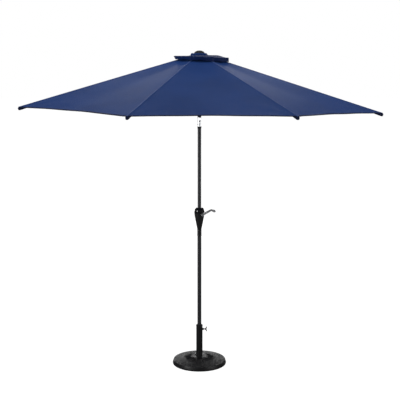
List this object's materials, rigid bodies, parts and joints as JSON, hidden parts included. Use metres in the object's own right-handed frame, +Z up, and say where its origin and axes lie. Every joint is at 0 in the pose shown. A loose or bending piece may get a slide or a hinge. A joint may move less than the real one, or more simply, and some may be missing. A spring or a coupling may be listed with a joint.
{
  "type": "patio umbrella",
  "caption": "Crank-lift patio umbrella: fabric canopy on folding ribs, push-button tilt pole and a round weighted base with a clamped sleeve.",
  "frame": {"origin": "centre of the base's underside, on the pole's axis", "axes": "+Z up along the pole; -Y is the side the crank comes out of; +X is the side the canopy tilts towards"},
  "size_m": [2.7071, 2.7042, 2.3986],
  "materials": {
    "cast_resin": "matt cast resin with a woven relief",
    "black_steel": "satin powder coat",
    "charcoal_steel": "satin charcoal powder coat",
    "black_plastic": "fine moulded plastic",
    "gloss_housing": "polished black plastic",
    "finial_plastic": "dark grey moulded plastic",
    "grip_plastic": "moulded grip",
    "grey_plastic": "moulded push button",
    "chrome_steel": "bright plated steel",
    "bare_steel": "plain steel",
    "lift_cord": "braided cord",
    "canopy_fabric": "navy woven polyester"
  },
  "bodies": {
    "base": {"base_weight": "cast_resin", "base_sleeve": "black_steel", "sleeve_collar": "black_plastic", "base_bolt_1": "chrome_steel", "base_bolt_2": "chrome_steel", "base_bolt_3": "chrome_steel", "base_bolt_4": "chrome_steel"},
    "clamp_screw": {"clamp_screw": "bare_steel"},
    "clamp_knob": {"clamp_knob": "black_plastic"},
    "mast": {"lower_pole": "charcoal_steel", "pole_ferrule": "black_plastic", "mast": "charcoal_steel", "mast_ring": "black_plastic", "crank_housing_left": "gloss_housing", "crank_housing_right": "gloss_housing", "tilt_fork": "chrome_steel", "tilt_pin": "bare_steel", "button_spring": "bare_steel", "lift_cord_lower": "lift_cord"},
    "crank": {"cord_spool": "bare_steel", "crank_arm": "chrome_steel"},
    "crank_grip": {"crank_grip": "grip_plastic"},
    "tilt_button": {"tilt_button": "grey_plastic"},
    "head": {"tilt_tongue": "chrome_steel", "tilt_collar": "black_plastic", "upper_pole": "charcoal_steel", "top_hub": "black_plastic", "hub_ring": "bare_steel", "hub_cap": "black_plastic", "finial": "finial_plastic", "crown": "canopy_fabric", "lift_cord_upper": "lift_cord"},
    "pulley": {"pulley": "bare_steel"},
    "runner": {"runner": "black_plastic", "runner_ring": "bare_steel", "lift_cord_drop": "lift_cord"},
    "rib_1": {"rib_1": "charcoal_steel", "canopy_panel_1": "canopy_fabric"},
    "rib_2": {"rib_2": "charcoal_steel", "canopy_panel_2": "canopy_fabric"},
    "rib_3": {"rib_3": "charcoal_steel", "canopy_panel_3": "canopy_fabric"},
    "rib_4": {"rib_4": "charcoal_steel", "canopy_panel_4": "canopy_fabric"},
    "rib_5": {"rib_5": "charcoal_steel", "canopy_panel_5": "canopy_fabric"},
    "rib_6": {"rib_6": "charcoal_steel", "canopy_panel_6": "canopy_fabric"},
    "rib_7": {"rib_7": "charcoal_steel", "canopy_panel_7": "canopy_fabric"},
    "rib_8": {"rib_8": "charcoal_steel", "canopy_panel_8": "canopy_fabric"},
    "strut_1": {"strut_1": "charcoal_steel"},
    "strut_2": {"strut_2": "charcoal_steel"},
    "strut_3": {"strut_3": "charcoal_steel"},
    "strut_4": {"strut_4": "charcoal_steel"},
    "strut_5": {"strut_5": "charcoal_steel"},
    "strut_6": {"strut_6": "charcoal_steel"},
    "strut_7": {"strut_7": "charcoal_steel"},
    "strut_8": {"strut_8": "charcoal_steel"}
  },
  "joints": [
    {"name": "pole_turn", "type": "hinge", "parent": "base", "child": "mast", "pos_m": [0, 0, 0.2], "axis": [0, 0, 1], "continuous": true},
    {"name": "clamp_feed", "type": "slide", "parent": "base", "child": "clamp_screw", "axis": [0.8965, -0.4431, 0], "range_m": [0, 0.003]},
    {"name": "clamp_turn", "type": "hinge", "parent": "clamp_screw", "child": "clamp_knob", "pos_m": [0.04034, -0.01994, 0.272], "axis": [0.8965, -0.4431, 0], "range_deg": [0, 720]},
    {"name": "tilt_lock", "type": "slide", "parent": "mast", "child": "tilt_button", "axis": [1, 0, 0], "range_m": [0, 0.002], "stiffness_N_per_m": 400, "springref_m": -0.002, "deforming": ["button_spring"]},
    {"name": "tilt", "type": "hinge", "parent": "mast", "child": "head", "pos_m": [0, 0, 1.88], "axis": [0, -1, 0], "range_deg": [-34, 0], "deforming": ["lift_cord_upper"]},
    {"name": "canopy_fold", "type": "hinge", "parent": "head", "child": "rib_1", "pos_m": [0, -0.038, 2.356], "axis": [1, 0, 0], "range_deg": [0, 68], "deforming": ["canopy_panel_1", "crown"]},
    {"name": "rib_2_fold", "type": "hinge", "parent": "head", "child": "rib_2", "pos_m": [0.02687, -0.02687, 2.356], "axis": [0.7071, 0.7071, 0], "range_deg": [0, 68], "deforming": ["canopy_panel_2"]},
    {"name": "rib_3_fold", "type": "hinge", "parent": "head", "child": "rib_3", "pos_m": [0.038, 0, 2.356], "axis": [0, 1, 0], "range_deg": [0, 68], "deforming": ["canopy_panel_3"]},
    {"name": "rib_4_fold", "type": "hinge", "parent": "head", "child": "rib_4", "pos_m": [0.02687, 0.02687, 2.356], "axis": [-0.7071, 0.7071, 0], "range_deg": [0, 68], "deforming": ["canopy_panel_4"]},
    {"name": "rib_5_fold", "type": "hinge", "parent": "head", "child": "rib_5", "pos_m": [0, 0.038, 2.356], "axis": [-1, 0, 0], "range_deg": [0, 68], "deforming": ["canopy_panel_5"]},
    {"name": "rib_6_fold", "type": "hinge", "parent": "head", "child": "rib_6", "pos_m": [-0.02687, 0.02687, 2.356], "axis": [-0.7071, -0.7071, 0], "range_deg": [0, 68], "deforming": ["canopy_panel_6"]},
    {"name": "rib_7_fold", "type": "hinge", "parent": "head", "child": "rib_7", "pos_m": [-0.038, 0, 2.356], "axis": [0, -1, 0], "range_deg": [0, 68], "deforming": ["canopy_panel_7"]},
    {"name": "rib_8_fold", "type": "hinge", "parent": "head", "child": "rib_8", "pos_m": [-0.02687, -0.02687, 2.356], "axis": [0.7071, -0.7071, 0], "range_deg": [0, 68], "deforming": ["canopy_panel_8"]},
    {"name": "runner_slide", "type": "slide", "parent": "head", "child": "runner", "axis": [0, 0, -1], "range_m": [0, 0.7589], "deforming": ["lift_cord_drop"]},
    {"name": "strut_1_fold", "type": "hinge", "parent": "runner", "child": "strut_1", "pos_m": [0, -0.038, 2.06027], "axis": [-1, 0, 0], "range_deg": [0, 68]},
    {"name": "strut_2_fold", "type": "hinge", "parent": "runner", "child": "strut_2", "pos_m": [0.02687, -0.02687, 2.06027], "axis": [-0.7071, -0.7071, 0], "range_deg": [0, 68]},
    {"name": "strut_3_fold", "type": "hinge", "parent": "runner", "child": "strut_3", "pos_m": [0.038, 0, 2.06027], "axis": [0, -1, 0], "range_deg": [0, 68]},
    {"name": "strut_4_fold", "type": "hinge", "parent": "runner", "child": "strut_4", "pos_m": [0.02687, 0.02687, 2.06027], "axis": [0.7071, -0.7071, 0], "range_deg": [0, 68]},
    {"name": "strut_5_fold", "type": "hinge", "parent": "runner", "child": "strut_5", "pos_m": [0, 0.038, 2.06027], "axis": [1, 0, 0], "range_deg": [0, 68]},
    {"name": "strut_6_fold", "type": "hinge", "parent": "runner", "child": "strut_6", "pos_m": [-0.02687, 0.02687, 2.06027], "axis": [0.7071, 0.7071, 0], "range_deg": [0, 68]},
    {"name": "strut_7_fold", "type": "hinge", "parent": "runner", "child": "strut_7", "pos_m": [-0.038, 0, 2.06027], "axis": [0, 1, 0], "range_deg": [0, 68]},
    {"name": "strut_8_fold", "type": "hinge", "parent": "runner", "child": "strut_8", "pos_m": [-0.02687, -0.02687, 2.06027], "axis": [-0.7071, 0.7071, 0], "range_deg": [0, 68]},
    {"name": "crank_turn", "type": "hinge", "parent": "mast", "child": "crank", "pos_m": [0, 0, 1.176], "axis": [0, -1, 0], "range_deg": [0, 4886]},
    {"name": "grip_spin", "type": "hinge", "parent": "crank", "child": "crank_grip", "pos_m": [0.07456, -0.08, 1.20765], "axis": [0, -1, 0], "continuous": true},
    {"name": "pulley_turn", "type": "hinge", "parent": "head", "child": "pulley", "pos_m": [0.00804, 0.00333, 2.356], "axis": [-0.3827, 0.9239, 0], "range_deg": [0, 4998]}
  ],
  "couplings": [
    {"joint": "clamp_turn", "follows": "clamp_feed", "rad_per_m": 4188.8},
    {"joint": "rib_2_fold", "follows": "canopy_fold", "ratio": 1},
    {"joint": "rib_3_fold", "follows": "canopy_fold", "ratio": 1},
    {"joint": "rib_4_fold", "follows": "canopy_fold", "ratio": 1},
    {"joint": "rib_5_fold", "follows": "canopy_fold", "ratio": 1},
    {"joint": "rib_6_fold", "follows": "canopy_fold", "ratio": 1},
    {"joint": "rib_7_fold", "follows": "canopy_fold", "ratio": 1},
    {"joint": "rib_8_fold", "follows": "canopy_fold", "ratio": 1},
    {"joint": "runner_slide", "follows": "canopy_fold", "m_per_rad": 0.63939},
    {"joint": "strut_1_fold", "follows": "canopy_fold", "ratio": 1},
    {"joint": "strut_2_fold", "follows": "canopy_fold", "ratio": 1},
    {"joint": "strut_3_fold", "follows": "canopy_fold", "ratio": 1},
    {"joint": "strut_4_fold", "follows": "canopy_fold", "ratio": 1},
    {"joint": "strut_5_fold", "follows": "canopy_fold", "ratio": 1},
    {"joint": "strut_6_fold", "follows": "canopy_fold", "ratio": 1},
    {"joint": "strut_7_fold", "follows": "canopy_fold", "ratio": 1},
    {"joint": "strut_8_fold", "follows": "canopy_fold", "ratio": 1},
    {"joint": "crank_turn", "follows": "canopy_fold", "ratio": 71.841},
    {"joint": "pulley_turn", "follows": "canopy_fold", "ratio": 73.493}
  ]
}
